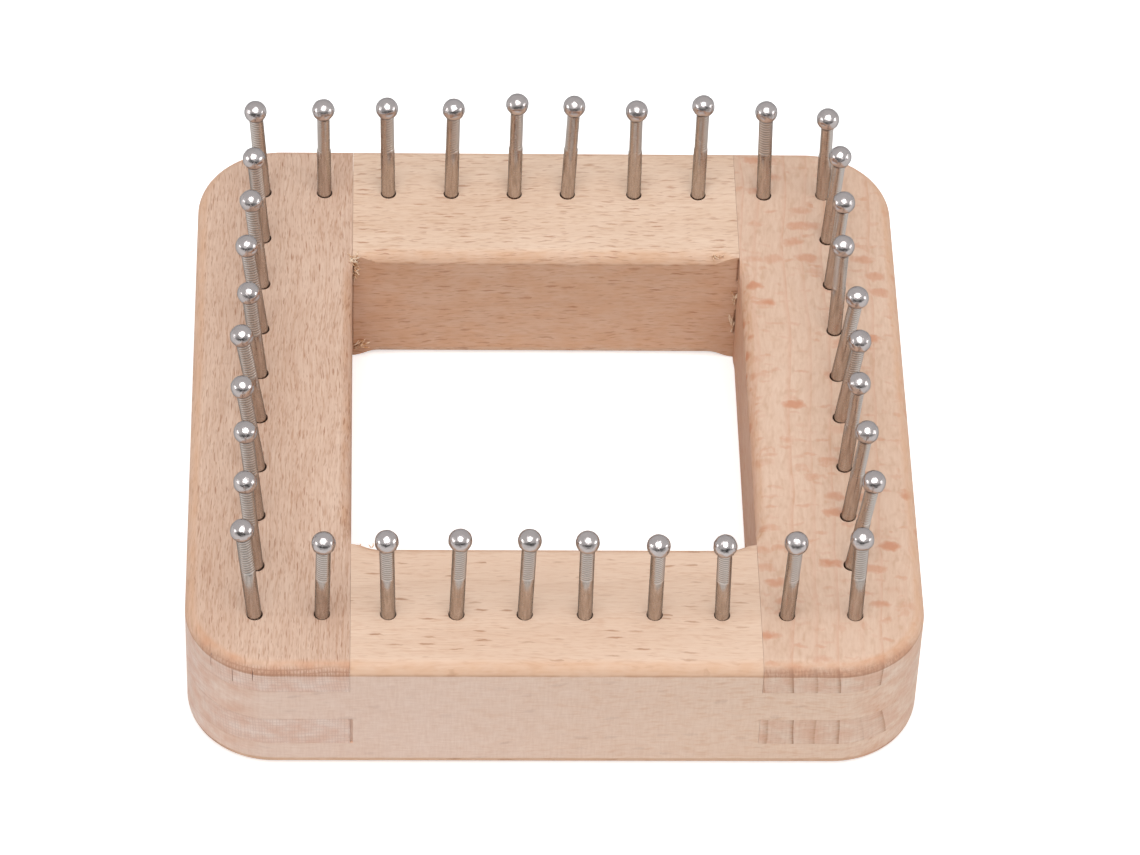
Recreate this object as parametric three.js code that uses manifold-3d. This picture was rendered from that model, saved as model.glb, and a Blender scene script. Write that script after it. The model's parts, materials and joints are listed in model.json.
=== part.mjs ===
// A square beech frame loom. Four rails are finger-jointed into a frame, and a row of ball-headed
// steel nails stands on each side of it to hold the warp and the weft.
// Millimetres, +Z up. The origin is at the centre of the underside, X runs along the front and back
// rails, Y along the side rails, and the front of the loom is -Y.
import * as THREE from 'three';
import { mergeVertices } from 'three/addons/utils/BufferGeometryUtils.js';
import Module from 'manifold-3d';

// Frame
const FRAME_WIDTH = 100; // along X, over the side rails
const FRAME_DEPTH = 100; // along Y, over the front and back rails
const RAIL_WIDTH = 22.3;
const RAIL_HEIGHT = 20.5;
const CORNER_RADIUS = 12; // the frame's four outer corners, seen from above
const EDGE_RADIUS = 2; // routed round all the upper and lower edges, outside and inside
const BEARING_RADIUS = 4; // guide bearing of the router bit, which keeps it out of inner corners

// Finger joints. From the top down: side finger, cross finger, side finger, and the last cross
// finger, which takes what is left of the height.
const SIDE_FINGER = 5; // height of each finger on the left and right rails
const CROSS_FINGER = 5.6; // height of the upper finger on the front and back rails
const GLUE_GAP = 0.1; // left between a finger and its slot

// Nails
const NAILS_ACROSS = 10; // in the front and back rows, which hold the corner nails
const NAILS_ALONG = 8; // in each side row, between the corner nails
const NAIL_INSET = 9.5; // from the frame's outer face to the row of nails
const NAIL_DIAMETER = 2;
const HEAD_DIAMETER = 3.2;
const HEAD_HEIGHT = 16; // from the wood to the centre of the head
const NAIL_BURIED = 12; // length in the wood
const NAIL_CHAMFER = 0.4; // at the nail's lower end
const HOLE_CLEARANCE = 0.2; // all round a nail
const HOLE_SPARE_DEPTH = 0.4; // below a nail

// Each nail stands a little out of line, as nails set by hand do. The lists run from left to right
// on the front and back rails, and from front to back on the side rails.
// shift: millimetres along the row. out: degrees away from the opening. along: degrees along the row.
const FRONT_ROW = {
  shift: [-0.1, 0, -0.1, 0.1, 0.3, -0.6, -0.2, -0.1, -0.3, -0.1],
  out: [-2.5, 5.5, 4.5, 3.5, 3.5, 4.5, 6.5, 6.5, 4.5, 2],
  along: [-5, 1, -1, 1, 1, -0.5, -0.5, -1.5, 1, -0.5],
};
const BACK_ROW = {
  shift: [-0.1, -0.3, -0.1, 0, 0.1, -1.2, -0.6, -0.3, 0.2, -0.2],
  out: [0, 1.5, 3, 2.5, 7, 5.5, 2, 6.5, 2, -3],
  along: [-3.5, -0.5, -1, 0.5, 0.5, 2, -0.5, 0.5, -1.5, -1],
};
const LEFT_ROW = {
  shift: [-0.2, 0, 0, 0.3, -0.2, -0.5, -0.6, -0.4],
  out: [4.5, 5, 7, 8, 5, 6.5, 5, 4],
  along: [2, 2, 0, 1.5, 0, 2, 2, -0.5],
};
const RIGHT_ROW = {
  shift: [0.2, 0.2, 0.4, 0.7, -0.3, -0.3, -0.2, -0.1],
  out: [7, 5.5, 3.5, 5.5, 6, 1, 3, 3],
  along: [2.5, 3, 2.5, -2, -0.5, 3, 1.5, 2],
};

// Flats on the curved surfaces
const CORNER_STEPS = 8; // in a quarter of an outer corner
const EDGE_STEPS = 4; // in a rounded edge
const BIT_SIDES = 48;
const NAIL_SIDES = 10;
const HEAD_STEPS = 6; // from the neck to the top of the ball
const HOLE_SIDES = 12;
const OVERCUT = 1; // how far a cutter stands proud of the wood

// Sizes that follow from these
const OPENING_HALF_X = FRAME_WIDTH / 2 - RAIL_WIDTH;
const OPENING_HALF_Y = FRAME_DEPTH / 2 - RAIL_WIDTH;
const ROW_X = FRAME_WIDTH / 2 - NAIL_INSET; // the side rows stand at plus and minus this
const ROW_Y = FRAME_DEPTH / 2 - NAIL_INSET; // the front and back rows

const wasm = await Module();
wasm.setup();

// A closed three.js geometry as a solid that can be cut and joined.
function solid(geometry) {
  const bare = geometry.clone();
  bare.deleteAttribute('normal');
  bare.deleteAttribute('uv');
  const merged = mergeVertices(bare);
  return new wasm.Manifold(new wasm.Mesh({
    numProp: 3,
    vertProperties: merged.attributes.position.array,
    triVerts: new Uint32Array(merged.index.array),
  }));
}

// The solid's surface as a three.js geometry.
function surface(cutSolid) {
  const mesh = cutSolid.getMesh();
  const geometry = new THREE.BufferGeometry();
  geometry.setAttribute('position', new THREE.BufferAttribute(mesh.vertProperties, 3));
  geometry.setIndex(new THREE.BufferAttribute(mesh.triVerts, 1));
  geometry.computeVertexNormals();
  return geometry;
}

// A box between two corners.
function block(low, high) {
  const size = high.map((value, i) => value - low[i]);
  const middle = high.map((value, i) => (value + low[i]) / 2);
  return new THREE.BoxGeometry(...size).translate(...middle);
}

// The frame's outside: a rounded square with its upper and lower edges rounded over.
function outerForm() {
  const x = FRAME_WIDTH / 2 - EDGE_RADIUS;
  const y = FRAME_DEPTH / 2 - EDGE_RADIUS;
  const r = CORNER_RADIUS - EDGE_RADIUS;
  const outline = new THREE.Shape();
  outline.absarc(x - r, y - r, r, 0, Math.PI / 2);
  outline.absarc(-x + r, y - r, r, Math.PI / 2, Math.PI);
  outline.absarc(-x + r, -y + r, r, Math.PI, 1.5 * Math.PI);
  outline.absarc(x - r, -y + r, r, 1.5 * Math.PI, 2 * Math.PI);
  return new THREE.ExtrudeGeometry(outline, {
    depth: RAIL_HEIGHT - 2 * EDGE_RADIUS,
    bevelThickness: EDGE_RADIUS,
    bevelSize: EDGE_RADIUS,
    bevelSegments: EDGE_STEPS,
    curveSegments: CORNER_STEPS,
  }).translate(0, 0, EDGE_RADIUS);
}

// What the router bit takes off a straight inner edge. The bar runs along X, centred, with the wall
// at y = 0, the wood at -y, and the upper face at z = 0.
function edgeCut(length) {
  const r = EDGE_RADIUS;
  const section = new THREE.Shape();
  section.moveTo(OVERCUT, OVERCUT);
  section.lineTo(-r, OVERCUT);
  section.lineTo(-r, 0);
  section.absarc(-r, -r, r, Math.PI / 2, 0, true);
  section.lineTo(OVERCUT, -r);
  const bar = new THREE.ExtrudeGeometry(section, {
    depth: length,
    bevelEnabled: false,
    curveSegments: EDGE_STEPS,
  });
  return bar.rotateX(Math.PI / 2).rotateZ(Math.PI / 2).translate(-length / 2, 0, 0);
}

// What the bit takes off where it stands in an inner corner, about its own axis.
function cornerCut() {
  const r = EDGE_RADIUS;
  const reach = BEARING_RADIUS + r;
  const profile = [new THREE.Vector2(0, -r), new THREE.Vector2(BEARING_RADIUS, -r)];
  for (let i = 1; i <= EDGE_STEPS; i++) {
    const angle = (i / EDGE_STEPS) * (Math.PI / 2);
    profile.push(new THREE.Vector2(reach - r * Math.cos(angle), -r + r * Math.sin(angle)));
  }
  profile.push(new THREE.Vector2(reach, OVERCUT), new THREE.Vector2(0, OVERCUT));
  return new THREE.LatheGeometry(profile, BIT_SIDES).rotateX(Math.PI / 2);
}

// Everything that the bit takes off the opening's upper edge, with the upper face at z = 0.
function openingEdgeCuts() {
  const cuts = [];
  for (const [half, wall, turn] of [
    [OPENING_HALF_X, OPENING_HALF_Y, 0],
    [OPENING_HALF_Y, OPENING_HALF_X, Math.PI / 2],
    [OPENING_HALF_X, OPENING_HALF_Y, Math.PI],
    [OPENING_HALF_Y, OPENING_HALF_X, 1.5 * Math.PI],
  ]) {
    cuts.push(edgeCut(2 * (half - BEARING_RADIUS)).translate(0, -wall, 0).rotateZ(turn));
  }
  for (const x of [-1, 1]) {
    for (const y of [-1, 1]) {
      const standX = x * (OPENING_HALF_X - BEARING_RADIUS);
      const standY = y * (OPENING_HALF_Y - BEARING_RADIUS);
      cuts.push(cornerCut().translate(standX, standY, 0));
    }
  }
  return cuts;
}

// The three heights at which the joint's layers meet, from the top down.
function layerHeights() {
  const upper = RAIL_HEIGHT - SIDE_FINGER;
  const middle = upper - CROSS_FINGER;
  const lower = middle - SIDE_FINGER;
  return { upper, middle, lower };
}

// Slots for the neighbours' fingers, cut across both ends of a rail as boxes that reach past the wood.
// axis: the one the rail runs along, 0 for X and 1 for Y. half: from the rail's middle to a shoulder.
// levels: the bottom and top of each slot.
function slots(axis, half, levels) {
  const far = Math.max(FRAME_WIDTH, FRAME_DEPTH);
  const cuts = [];
  for (const [bottom, top] of levels) {
    for (const end of [-1, 1]) {
      const shoulder = end * (half - GLUE_GAP);
      const low = [-far, -far, bottom];
      const high = [far, far, top];
      low[axis] = Math.min(shoulder, end * far);
      high[axis] = Math.max(shoulder, end * far);
      cuts.push(block(low, high));
    }
  }
  return cuts;
}

// The nail, with the wood's surface at z = 0: a chamfered shank and a ball head.
function nailGeometry() {
  const shank = NAIL_DIAMETER / 2;
  const ball = HEAD_DIAMETER / 2;
  const profile = [
    new THREE.Vector2(0, -NAIL_BURIED),
    new THREE.Vector2(shank - NAIL_CHAMFER, -NAIL_BURIED),
    new THREE.Vector2(shank, -NAIL_BURIED + NAIL_CHAMFER),
  ];
  const neckAngle = Math.asin(shank / ball);
  for (let i = 0; i < HEAD_STEPS; i++) {
    const angle = Math.PI - neckAngle - ((Math.PI - neckAngle) * i) / HEAD_STEPS;
    const height = HEAD_HEIGHT + ball * Math.cos(angle);
    profile.push(new THREE.Vector2(ball * Math.sin(angle), height));
  }
  profile.push(new THREE.Vector2(0, HEAD_HEIGHT + ball));
  return new THREE.LatheGeometry(profile, NAIL_SIDES).rotateX(Math.PI / 2);
}

// The drill that makes a nail's hole, about the nail's own axis. Its flats lie on the hole's radius.
function drillGeometry() {
  const radius = NAIL_DIAMETER / 2 + HOLE_CLEARANCE;
  const bottom = -NAIL_BURIED - HOLE_SPARE_DEPTH;
  const drill = new THREE.CylinderGeometry(
    radius / Math.cos(Math.PI / HOLE_SIDES),
    radius / Math.cos(Math.PI / HOLE_SIDES),
    OVERCUT - bottom,
    HOLE_SIDES,
  );
  return drill.rotateX(Math.PI / 2).translate(0, 0, (OVERCUT + bottom) / 2);
}

const nailShape = nailGeometry();
const drillShape = drillGeometry();
const degrees = THREE.MathUtils.degToRad;

// One nail, set in the wood's upper face at x, y, leaning by two angles in degrees.
function nail(name, x, y, leanX, leanY) {
  const steel = new THREE.MeshStandardMaterial({ color: 0xb9b4ac, roughness: 0.3, metalness: 1 });
  const mesh = new THREE.Mesh(nailShape, steel);
  mesh.name = name;
  mesh.position.set(x, y, RAIL_HEIGHT);
  mesh.rotation.set(degrees(-leanY), degrees(leanX), 0);
  return mesh;
}

// A row along X: side is -1 for the front rail and 1 for the back rail.
function crossRow(label, row, side) {
  const nails = new THREE.Group();
  for (let i = 0; i < NAILS_ACROSS; i++) {
    const x = -ROW_X + (2 * ROW_X * i) / (NAILS_ACROSS - 1) + row.shift[i];
    const number = String(i + 1).padStart(2, '0');
    nails.add(nail(`nail_${label}_${number}`, x, side * ROW_Y, row.along[i], side * row.out[i]));
  }
  return nails;
}

// A row along Y, between the corner nails: side is -1 for the left rail and 1 for the right rail.
function sideRow(label, row, side) {
  const nails = new THREE.Group();
  for (let i = 0; i < NAILS_ALONG; i++) {
    const y = -ROW_Y + (2 * ROW_Y * (i + 1)) / (NAILS_ALONG + 1) + row.shift[i];
    const number = String(i + 1).padStart(2, '0');
    nails.add(nail(`nail_${label}_${number}`, side * ROW_X, y, side * row.out[i], row.along[i]));
  }
  return nails;
}

const nails = new THREE.Group();
nails.add(
  crossRow('front', FRONT_ROW, -1),
  crossRow('back', BACK_ROW, 1),
  sideRow('left', LEFT_ROW, -1),
  sideRow('right', RIGHT_ROW, 1),
);
nails.updateMatrixWorld(true);

const envelope = solid(outerForm());
const opening = solid(block(
  [-OPENING_HALF_X, -OPENING_HALF_Y, -OVERCUT],
  [OPENING_HALF_X, OPENING_HALF_Y, RAIL_HEIGHT + OVERCUT],
));
const drills = [];
nails.traverse((piece) => {
  if (piece.isMesh) drills.push(solid(drillShape.clone().applyMatrix4(piece.matrixWorld)));
});
const edgeCuts = openingEdgeCuts();
const routed = [
  ...edgeCuts.map((cut) => solid(cut.clone().translate(0, 0, RAIL_HEIGHT))),
  ...edgeCuts.map((cut) => solid(cut.clone().rotateX(Math.PI))),
];

// A rail is a stick of the frame's outer form, less the slots at its ends, the opening and its
// rounded edges, and the nail holes.
function rail(name, stick, slotCuts, color) {
  let wood = solid(stick).intersect(envelope).subtract(opening);
  for (const cut of slotCuts) wood = wood.subtract(solid(cut));
  for (const cut of [...routed, ...drills]) wood = wood.subtract(cut);
  const beech = new THREE.MeshStandardMaterial({ color, roughness: 0.6, metalness: 0 });
  const mesh = new THREE.Mesh(surface(wood), beech);
  mesh.name = name;
  return mesh;
}

const { upper, middle, lower } = layerHeights();
const above = RAIL_HEIGHT + OVERCUT;
const ease = GLUE_GAP / 2;
const crossSlots = slots(0, OPENING_HALF_X, [
  [upper - ease, above],
  [lower - ease, middle + ease],
]);
const sideSlots = slots(1, OPENING_HALF_Y, [
  [middle - ease, upper + ease],
  [-OVERCUT, lower + ease],
]);

const left = -FRAME_WIDTH / 2;
const right = FRAME_WIDTH / 2;
const front = -FRAME_DEPTH / 2;
const back = FRAME_DEPTH / 2;

const loom = new THREE.Group();
loom.add(
  rail('rail_left', block([left, front, 0], [-OPENING_HALF_X, back, RAIL_HEIGHT]), sideSlots, 0xd9b896),
  rail('rail_right', block([OPENING_HALF_X, front, 0], [right, back, RAIL_HEIGHT]), sideSlots, 0xdfc4a5),
  rail('rail_front', block([left, front, 0], [right, -OPENING_HALF_Y, RAIL_HEIGHT]), crossSlots, 0xe3c7a6),
  rail('rail_back', block([left, OPENING_HALF_Y, 0], [right, back, RAIL_HEIGHT]), crossSlots, 0xe3c7a6),
  nails,
);

export default loom;
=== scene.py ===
# %% [markdown]
# # A beech pin loom
# The loom is a small square frame with a row of ball-headed nails on each side. This script makes the
# fine surface of each piece in the place of its plain one: four finger-jointed rails and thirty-six
# nails.

# %% Load the frame and keep its size
import json
import math
import random

import bmesh
import bpy
import numpy as np
from mathutils import Matrix, Vector, noise

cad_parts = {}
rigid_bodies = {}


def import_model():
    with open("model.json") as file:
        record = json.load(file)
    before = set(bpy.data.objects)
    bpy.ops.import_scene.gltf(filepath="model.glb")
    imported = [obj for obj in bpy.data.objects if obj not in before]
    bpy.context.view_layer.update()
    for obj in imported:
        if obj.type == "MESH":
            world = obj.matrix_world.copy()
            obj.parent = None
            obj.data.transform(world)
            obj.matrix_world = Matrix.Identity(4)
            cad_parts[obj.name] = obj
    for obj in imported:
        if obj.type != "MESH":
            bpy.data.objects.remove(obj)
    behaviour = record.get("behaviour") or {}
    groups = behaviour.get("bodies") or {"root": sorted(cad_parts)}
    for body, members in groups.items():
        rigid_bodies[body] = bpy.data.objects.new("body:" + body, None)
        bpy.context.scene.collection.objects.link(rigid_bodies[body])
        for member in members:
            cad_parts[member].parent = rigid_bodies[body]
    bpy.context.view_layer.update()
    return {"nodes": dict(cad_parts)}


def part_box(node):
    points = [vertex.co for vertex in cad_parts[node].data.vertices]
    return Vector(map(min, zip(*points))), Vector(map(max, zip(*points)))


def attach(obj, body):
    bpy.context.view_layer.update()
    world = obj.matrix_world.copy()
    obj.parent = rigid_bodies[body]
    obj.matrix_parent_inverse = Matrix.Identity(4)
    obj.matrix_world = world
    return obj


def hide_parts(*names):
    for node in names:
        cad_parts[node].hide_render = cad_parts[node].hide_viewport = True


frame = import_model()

MM = 0.001
print("the frame has", len(frame["nodes"]), "pieces")

# %% [markdown]
# ## Sizes
# A piece fits only if it is built from the same numbers as its neighbours, so the outside, the opening
# and the top face are read from the frame's rails. The joint's layers and the rounded edges can't be
# read from a box, so they are named here.

# %% Read the rails' places
left_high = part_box("rail_left")[1]
front_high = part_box("rail_front")[1]
right_low, right_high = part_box("rail_right")
back_low, back_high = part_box("rail_back")
FAR_X = right_high.x
FAR_Y = back_high.y
INNER_X = right_low.x
INNER_Y = back_low.y
TOP = left_high.z

SIDE_FINGER = 5 * MM
CROSS_FINGER = 5.6 * MM
CORNER_RADIUS = 12 * MM
EDGE_RADIUS = 2 * MM
BEARING_RADIUS = 4 * MM
GLUE_LINE = 0.03 * MM
LAYER_1 = TOP - SIDE_FINGER
LAYER_2 = LAYER_1 - CROSS_FINGER
LAYER_3 = LAYER_2 - SIDE_FINGER
OPENING = (right_low.x - left_high.x, back_low.y - front_high.y)
print("opening", [round(size / MM, 1) for size in OPENING], "mm")

# %% [markdown]
# ## From a bmesh to a piece
# Every piece starts as a bmesh, which is a mesh that can be edited step by step. When it is done it
# becomes an object at the origin, with its place in its mesh, so that all the patterns on it are
# measured from the same point.

# %% Turn a bmesh into an object
def make_object(name, bm):
    mesh = bpy.data.meshes.new(name)
    bm.to_mesh(mesh)
    bm.free()
    obj = bpy.data.objects.new(name, mesh)
    bpy.context.scene.collection.objects.link(obj)
    return obj


def finish_piece(obj, node):
    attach(obj, "root")
    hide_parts(node)


def add_box(bm, low, high):
    size = Vector(high) - Vector(low)
    middle = (Vector(high) + Vector(low)) / 2
    place = Matrix.Translation(middle) @ Matrix.Diagonal((*size, 1))
    return bmesh.ops.create_cube(bm, size=1, matrix=place)["verts"]


# %% [markdown]
# ## The outside of the frame
# The maker glues four square sticks together first, and only then saws the corners round and runs a
# router round the edges. The same order works here: a box gets its four upright edges bevelled by the
# corner radius, and then its upper and lower rims by the edge radius. Both bevels have a profile of
# 0.5, which is a true arc.

# %% The rounded block that all the rails are cut from
CORNER_SEGMENTS = 24
EDGE_SEGMENTS = 10


def outer_block():
    bm = bmesh.new()
    add_box(bm, (-FAR_X, -FAR_Y, 0), (FAR_X, FAR_Y, TOP))
    upright = [e for e in bm.edges if abs(e.verts[0].co.z - e.verts[1].co.z) > TOP / 2]
    bmesh.ops.bevel(bm, geom=upright, offset=CORNER_RADIUS, segments=CORNER_SEGMENTS,
                    profile=0.5, affect="EDGES", material=-1)
    rims = [e for e in bm.edges if abs(e.verts[0].co.z - e.verts[1].co.z) < TOP / 2]
    bmesh.ops.bevel(bm, geom=rims, offset=EDGE_RADIUS, segments=EDGE_SEGMENTS,
                    profile=0.5, affect="EDGES", material=-1)
    return make_object("outer_block", bm)


block = outer_block()
print("block", len(block.data.polygons), "faces")

# %% [markdown]
# ## The router bit's path round the opening
# A rounding bit is guided by a small bearing that rolls along the wood. In an inner corner the bearing
# stops before the corner does, so the rounding swings round and runs out, and the very corner stays
# sharp. That run-out is what tells a routed edge from a bevelled one. It is made as the bit makes it:
# the bit's section is pulled along each side with an extrude and turned about the bearing's centre at
# each corner with a spin. The ring that this leaves, and its mirror image for the underside, are cut
# from the wood.

# %% Sweep the bit's section
BIT_OVERCUT = 1 * MM
TURN_STEPS = 16
PATH_WELD = 0.001 * MM


def bit_section(bm):
    r = EDGE_RADIUS
    start = bm.verts.new((INNER_X, 0, -r))
    turned = bmesh.ops.spin(bm, geom=[start], cent=(INNER_X + r, 0, -r), axis=(0, 1, 0),
                            angle=math.pi / 2, steps=EDGE_SEGMENTS)
    end = turned["geom_last"][0]
    corners = [(INNER_X + r, BIT_OVERCUT), (INNER_X - BIT_OVERCUT, BIT_OVERCUT),
               (INNER_X - BIT_OVERCUT, -r)]
    for x, z in corners:
        corner = bm.verts.new((x, 0, z))
        bm.edges.new((end, corner))
        end = corner
    bm.edges.new((end, start))
    return bmesh.ops.contextual_create(bm, geom=bm.edges[:])["faces"][0]


def points_of(geometry):
    return [g for g in geometry if isinstance(g, bmesh.types.BMVert)]


def first_face(geometry):
    return next(g for g in geometry if isinstance(g, bmesh.types.BMFace))


def router_path():
    bm = bmesh.new()
    first = bit_section(bm)
    straight_x = INNER_X - BEARING_RADIUS
    straight_y = INNER_Y - BEARING_RADIUS
    bmesh.ops.translate(bm, verts=first.verts[:], vec=(0, -straight_y, TOP))
    last = first
    for side in range(4):
        run = straight_y if side in (0, 2) else straight_x
        turn = Matrix.Rotation(side * math.pi / 2, 3, "Z")
        grown = bmesh.ops.extrude_face_region(bm, geom=[last])["geom"]
        ahead = turn @ Vector((0, 2 * run, 0))
        bmesh.ops.translate(bm, verts=points_of(grown), vec=ahead)
        if last is not first:
            bm.faces.remove(last)
        last = first_face(grown)
        corner_x = straight_x if side in (0, 3) else -straight_x
        corner_y = straight_y if side in (0, 1) else -straight_y
        turned = bmesh.ops.spin(bm, geom=[last], cent=(corner_x, corner_y, 0), axis=(0, 0, 1),
                                angle=math.pi / 2, steps=TURN_STEPS)
        bm.faces.remove(last)
        last = first_face(turned["geom_last"])
    bm.faces.remove(last)
    if first.is_valid:
        bm.faces.remove(first)
    bmesh.ops.remove_doubles(bm, verts=bm.verts[:], dist=PATH_WELD)
    copy = bmesh.ops.duplicate(bm, geom=bm.verts[:] + bm.edges[:] + bm.faces[:])["geom"]
    upside_down = Matrix.Translation((0, 0, TOP)) @ Matrix.Diagonal((1, 1, -1, 1))
    bmesh.ops.transform(bm, matrix=upside_down, verts=points_of(copy))
    bmesh.ops.recalc_face_normals(bm, faces=bm.faces[:])
    return make_object("router_path", bm)


bit_path = router_path()
print("router path", len(bit_path.data.polygons), "faces")

# %% [markdown]
# ## Where the nails stand
# Each nail was set by hand and leans its own way. The frame's nail already has that lean, so its axis is
# measured from its points: it is the direction in which they spread the most.

# %% Measure the axis of each nail
def nail_axis(node):
    points = {tuple(round(c, 7) for c in v.co) for v in frame["nodes"][node].data.vertices}
    points = np.array(sorted(points))
    middle = points.mean(0)
    spread = np.linalg.svd(points - middle)[2][0]
    if spread[2] < 0:
        spread = -spread
    along = (points - middle) @ spread
    top = Vector(middle + spread * along.max())
    return top, Vector(spread), float(along.max() - along.min())


nails = {name: nail_axis(name) for name in sorted(frame["nodes"]) if name.startswith("nail")}
print(len(nails), "nails,", round(nails["nail_front_01"][2] / MM, 1), "mm long")

# %% [markdown]
# ## Nail holes
# The holes are drilled a little wider than the wire, and the nail is pushed to the side it leans to, so
# a dark crescent shows behind it. Each drill is a plain cylinder on the nail's own axis, shifted a hair
# against the lean. It starts above the wood and ends a little below the nail's foot.

# %% Make one drill for all the holes
HOLE_RADIUS = 1.11 * MM
HOLE_SHIFT = 0.07 * MM
HOLE_SIDES = 40
HOLE_DEPTH = 12.4 * MM
DRILL_ABOVE = 2 * MM


def wood_point(top, axis):
    return top - axis * ((top.z - TOP) / axis.z)


def all_drills():
    bm = bmesh.new()
    for top, axis, _ in nails.values():
        foot = wood_point(top, axis)
        sideways = Vector((axis.x, axis.y, 0))
        if sideways.length > 0:
            foot = foot - sideways.normalized() * HOLE_SHIFT
        turn = axis.to_track_quat("Z", "Y").to_matrix().to_4x4()
        place = Matrix.Translation(foot) @ turn
        shaft = bmesh.ops.create_cone(bm, segments=HOLE_SIDES, cap_ends=True, radius1=HOLE_RADIUS,
                                      radius2=HOLE_RADIUS, depth=HOLE_DEPTH + DRILL_ABOVE)["verts"]
        bmesh.ops.translate(bm, verts=shaft, vec=(0, 0, (DRILL_ABOVE - HOLE_DEPTH) / 2))
        bmesh.ops.transform(bm, matrix=place, verts=shaft)
    return make_object("drills", bm)


drills = all_drills()
print("drills", len(drills.data.polygons), "faces")

# %% [markdown]
# ## Cutting the rails
# A Boolean modifier cuts one closed shape with another. Each rail is the part of the rounded block that
# its own stick fills, less the slots for its neighbours' fingers, the router's path and the holes. The
# finished mesh is read back from the modifier, so no modifier stays.

# %% Cut a shape with another
def cut(obj, tool, operation):
    modifier = obj.modifiers.new("cut", "BOOLEAN")
    modifier.operation = operation
    modifier.solver = "EXACT"
    modifier.object = tool
    seen = obj.evaluated_get(bpy.context.evaluated_depsgraph_get())
    mesh = bpy.data.meshes.new_from_object(seen)
    obj.modifiers.clear()
    obj.data = mesh
    return obj


def box_object(low, high):
    bm = bmesh.new()
    add_box(bm, low, high)
    return make_object("box", bm)


# %% [markdown]
# ## Slots and open glue lines
# The fingers fill their slots to within a glue line. In four places the joint isn't quite closed, and a
# dark slit shows: at the end of a lower finger on the front, beside both fingers in the opening's far
# right corner, and down its far left corner. A slit is shallow, because glue fills it further in.

# %% The slots at both ends of a rail
FAR = 0.2
SLIT = 0.28 * MM
SLIT_DEPTH = 0.35 * MM
FRONT_SLIT = 0.4 * MM
CORNER_SLIT = 0.13 * MM
CORNER_SLIT_DEPTH = 0.16 * MM
SLIT_CUT = 1 * MM


def cross_slots():
    boxes = []
    for end in (-1, 1):
        for low, high in ((LAYER_1, FAR), (LAYER_3, LAYER_2)):
            shoulder = end * (INNER_X - GLUE_LINE)
            x = sorted((shoulder, end * FAR))
            boxes.append(((x[0], -FAR, low - GLUE_LINE / 2), (x[1], FAR, high + GLUE_LINE / 2)))
    return boxes


def side_slots():
    boxes = []
    for end in (-1, 1):
        for low, high in ((LAYER_2, LAYER_1), (-FAR, LAYER_3)):
            shoulder = end * (INNER_Y - GLUE_LINE)
            y = sorted((shoulder, end * FAR))
            boxes.append(((-FAR, y[0], low - GLUE_LINE / 2), (FAR, y[1], high + GLUE_LINE / 2)))
    return boxes


# Each slit is a box, as its lowest and highest corners.
FRONT_SLITS = [
    ((-INNER_X - SLIT_CUT, -FAR_Y - SLIT_CUT, LAYER_3),
     (-INNER_X + FRONT_SLIT, -FAR_Y + SLIT_DEPTH, LAYER_2)),
]
BACK_SLITS = [
    ((INNER_X - SLIT, INNER_Y - SLIT_CUT, LAYER_1),
     (INNER_X + SLIT_CUT, INNER_Y + SLIT_DEPTH, TOP - 0.4 * MM)),
    ((INNER_X - SLIT, INNER_Y - SLIT_CUT, LAYER_3),
     (INNER_X + SLIT_CUT, INNER_Y + SLIT_DEPTH, LAYER_2)),
    ((-INNER_X - SLIT_CUT, INNER_Y - SLIT_CUT, 2.2 * MM),
     (-INNER_X + CORNER_SLIT, INNER_Y + CORNER_SLIT_DEPTH, TOP - 2.2 * MM)),
]


# %% [markdown]
# ## Drying cracks
# End grain dries faster than the wood behind it and opens in fine cracks that follow the rays. The left
# rail has three of them round its front corner. Each is a thin box that points at the corner's centre.

# %% The boxes that cut the cracks
# Each crack: its direction from the corner's centre in degrees, its lower and upper end in mm, its width.
CRACKS = [(226, 17.0, 19.4, 0.09), (243, 16.2, 18.7, 0.1), (257, 17.4, 19.3, 0.08)]
CRACK_REACH = 1.3 * MM


def cracks():
    tools = []
    for angle, low, high, width in CRACKS:
        bm = bmesh.new()
        size = (2 * CRACK_REACH, width * MM, (high - low) * MM)
        bmesh.ops.create_cube(bm, size=1, matrix=Matrix.Diagonal((*size, 1)))
        turn = Matrix.Rotation(math.radians(angle), 4, "Z")
        middle = Matrix.Translation((CORNER_RADIUS, 0, (low + high) / 2 * MM))
        corner = Matrix.Translation((-FAR_X + CORNER_RADIUS, -FAR_Y + CORNER_RADIUS, 0))
        bmesh.ops.transform(bm, matrix=corner @ turn @ middle, verts=bm.verts[:])
        tools.append(make_object("crack", bm))
    return tools


# %% Make the four rails
WELD = 0.0005 * MM
WOOD_SHARP = math.radians(32)


def rail(name, low, high, slots, slits):
    wood = bpy.data.objects.new(name, block.data.copy())
    bpy.context.scene.collection.objects.link(wood)
    stick = box_object(low, high)
    tools = [(stick, "INTERSECT"), (bit_path, "DIFFERENCE")]
    tools += [(box_object(*corners), "DIFFERENCE") for corners in slots + slits]
    tools.append((drills, "DIFFERENCE"))
    if name == "beech_rail_left":
        tools += [(tool, "DIFFERENCE") for tool in cracks()]
    for tool, operation in tools:
        cut(wood, tool, operation)
        if tool not in (bit_path, drills):
            bpy.data.objects.remove(tool)
    bm = bmesh.new()
    bm.from_mesh(wood.data)
    bmesh.ops.remove_doubles(bm, verts=bm.verts[:], dist=WELD)
    bm.to_mesh(wood.data)
    bm.free()
    wood.data.polygons.foreach_set("use_smooth", [True] * len(wood.data.polygons))
    wood.data.set_sharp_from_angle(angle=WOOD_SHARP)
    even = wood.modifiers.new("even normals", "WEIGHTED_NORMAL")
    even.keep_sharp = True
    even.weight = 100
    print(name, len(wood.data.polygons), "faces")
    return wood


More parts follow.
